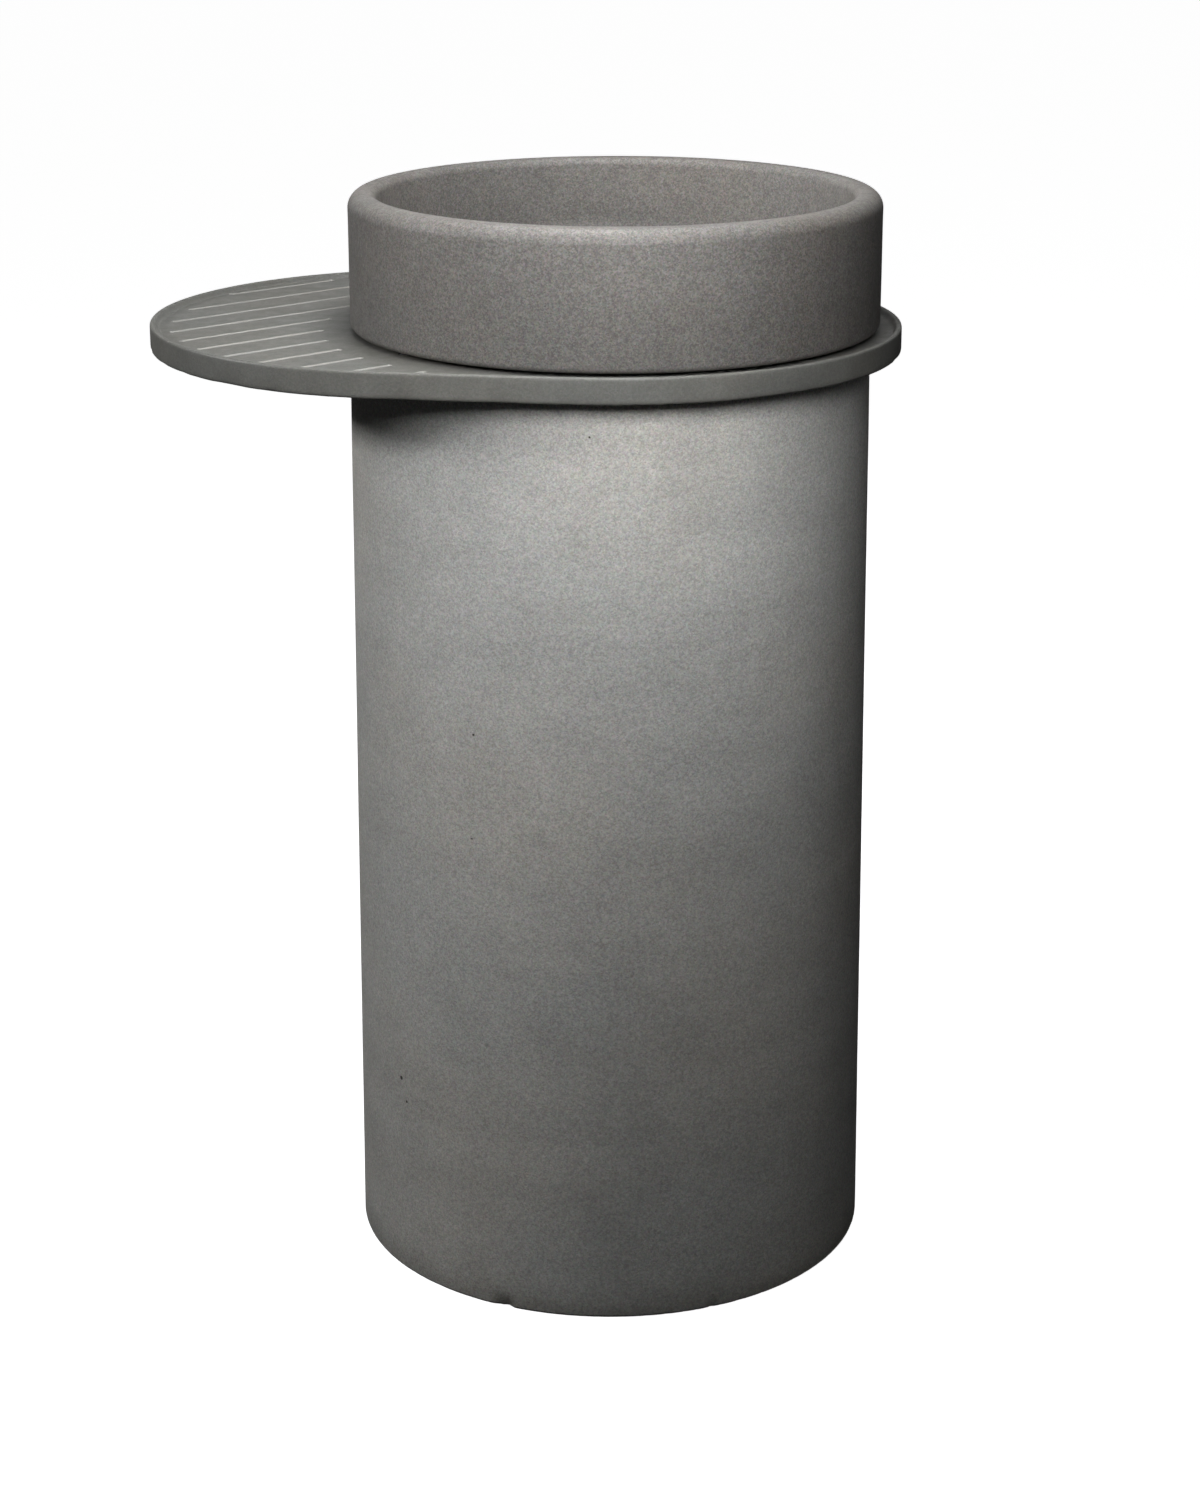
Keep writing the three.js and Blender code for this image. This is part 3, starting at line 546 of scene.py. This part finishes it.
for g in (60, 180, 300):
    cylinder_bm(bm, (AX + 0.1655 * math.cos(rad(g)), 0.1655 * math.sin(rad(g)), 0.038), (math.cos(rad(g)), math.sin(rad(g)), 0), 0.0068, 0.029)
cutter = finish_mesh("pedestal_cutter", bm)
cutter.data.materials.append(PED)
ped = cut(ped, cutter, 35)
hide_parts("pedestal"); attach(ped, "basin")

# ------------------------------------------------------------------ plug cap
c0, c1, cr = cap_lo[2], cap_hi[2], (cap_hi[0] - cap_lo[0]) / 2
profile = [(0, c0), (cr - 0.0012, c0)] + arc(cr - 0.0012, c0 + 0.0012, 0.0011, -80, 0, 5) + [(cr - 0.0001, c0 + 0.0036)]
profile += arc(cr - 0.0028, c0 + 0.0036, 0.0027, 12, 72, 6) + [(0.0255, c1 - 0.0012), (0.019, c1 - 0.00062), (0.012, c1 - 0.0003), (0.006, c1 - 0.0001), (0, c1)]
cap = lathe("plug_cap_cast", profile, 96, None, 40, AXB)
cap.data.materials.append(BOWL)
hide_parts("plug_cap"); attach(cap, "drain_plug")

# ------------------------------------------------------------------ the other CAD nodes keep their shapes
LOOK = {"bowl_concrete": BOWL, "tray_concrete": TRAY, "pedestal_concrete": PED, "sealant": SEALANT, "black_rubber": RUBBER,
        "brass": BRASS, "chrome": CHROME, "steel": STEEL, "white_plastic": PLASTIC}
for sub in frame["record"]["subparts"]:
    ob = frame["nodes"].get(sub["node"])
    if ob is None or sub["node"] in ("bowl", "tray", "pedestal", "plug_cap"):
        continue
    ob.data.materials.clear()
    ob.data.materials.append(LOOK[sub["material_slot"]])
    for p in ob.data.polygons:
        p.use_smooth = True
    ob.data.set_sharp_from_angle(angle=rad(34))

# ------------------------------------------------------------------ floor, light, camera
me = bpy.data.meshes.new("studio_floor")
bm = bmesh.new()
s = 30.0
sweep = [(-s, 0.0)] + [(s * 0.5 + 3 * math.sin(rad(a)), 3 - 3 * math.cos(rad(a))) for a in range(0, 91, 10)] + [(s * 0.5 + 3, 30)]
rows = [[bm.verts.new((x, y, z - 0.0002)) for x in (-s, s)] for y, z in sweep]
for a, b in zip(rows, rows[1:]):
    bm.faces.new((a[0], a[1], b[1], b[0]))
bm.to_mesh(me); bm.free()
floor = bpy.data.objects.new("studio_floor", me)
bpy.context.collection.objects.link(floor)
m, nt, bsdf = mat_new("pale_floor")
k = Net(nt)
k.link(k.mix(k.ramp(k.noise(1.5, 3, 0.5), 0.3, 0.7), (0.80, 0.80, 0.80), (0.84, 0.84, 0.84)), bsdf.inputs["Base Color"])
bsdf.inputs["Roughness"].default_value = 0.9
bsdf.inputs["Emission Color"].default_value = (1, 1, 1, 1)
bsdf.inputs["Emission Strength"].default_value = 0.96
me.materials.append(m)
floor.visible_diffuse = False
floor.visible_glossy = False


def area(name, loc, target, size, power, size_y=None, color=(1, 1, 1)):
    d = bpy.data.lights.new(name, "AREA")
    d.shape = "RECTANGLE"
    d.size, d.size_y, d.energy, d.color = size, size_y or size, power, color
    o = bpy.data.objects.new(name, d)
    bpy.context.collection.objects.link(o)
    o.location = loc
    o.rotation_euler = (Vector(target) - Vector(loc)).to_track_quat("-Z", "Y").to_euler()
    return o


area("key", (AX + 0.13, -0.62, 0.98), (AX, 0, 0.66), 0.5, 3.7, 0.2)
area("front_top", (AX, -0.9, 2.3), (AX, 0, 0.75), 0.8, 7.5)
area("bowl_top", (AXB - 0.02, -0.15, 1.45), (AXB, 0.05, 0.8), 0.3, 6.0)
area("left", (AX - 1.6, -0.5, 1.28), (AX, 0, 0.52), 0.45, 15.0, 0.2)
area("top", (AX - 0.1, 0.45, 1.9), (AX, 0, 0.75), 0.8, 2.5)
card = area("back_card", (AX - 0.4, 2.6, 1.5), (AX, 0, 0.9), 4.0, 8.5, 2.2)
card.visible_camera = False

w = bpy.data.worlds.new("studio")
bpy.context.scene.world = w
w.use_nodes = True
w.node_tree.nodes["Background"].inputs["Color"].default_value = (1, 1, 1, 1)
w.node_tree.nodes["Background"].inputs["Strength"].default_value = 0.03

cam = bpy.data.cameras.new("camera")
cam.sensor_width = 36
cam.lens = 73.97
cam.shift_x, cam.shift_y = -0.00677, -0.0737
cam.clip_end = 200
co = bpy.data.objects.new("camera", cam)
bpy.context.collection.objects.link(co)
co.location = (AX + 0.33815, -2.33505, 1.18174)
co.rotation_euler = (rad(90 - 16.33), 0, rad(8.24))
bpy.context.scene.camera = co
bpy.context.scene.view_settings.view_transform = "Standard"
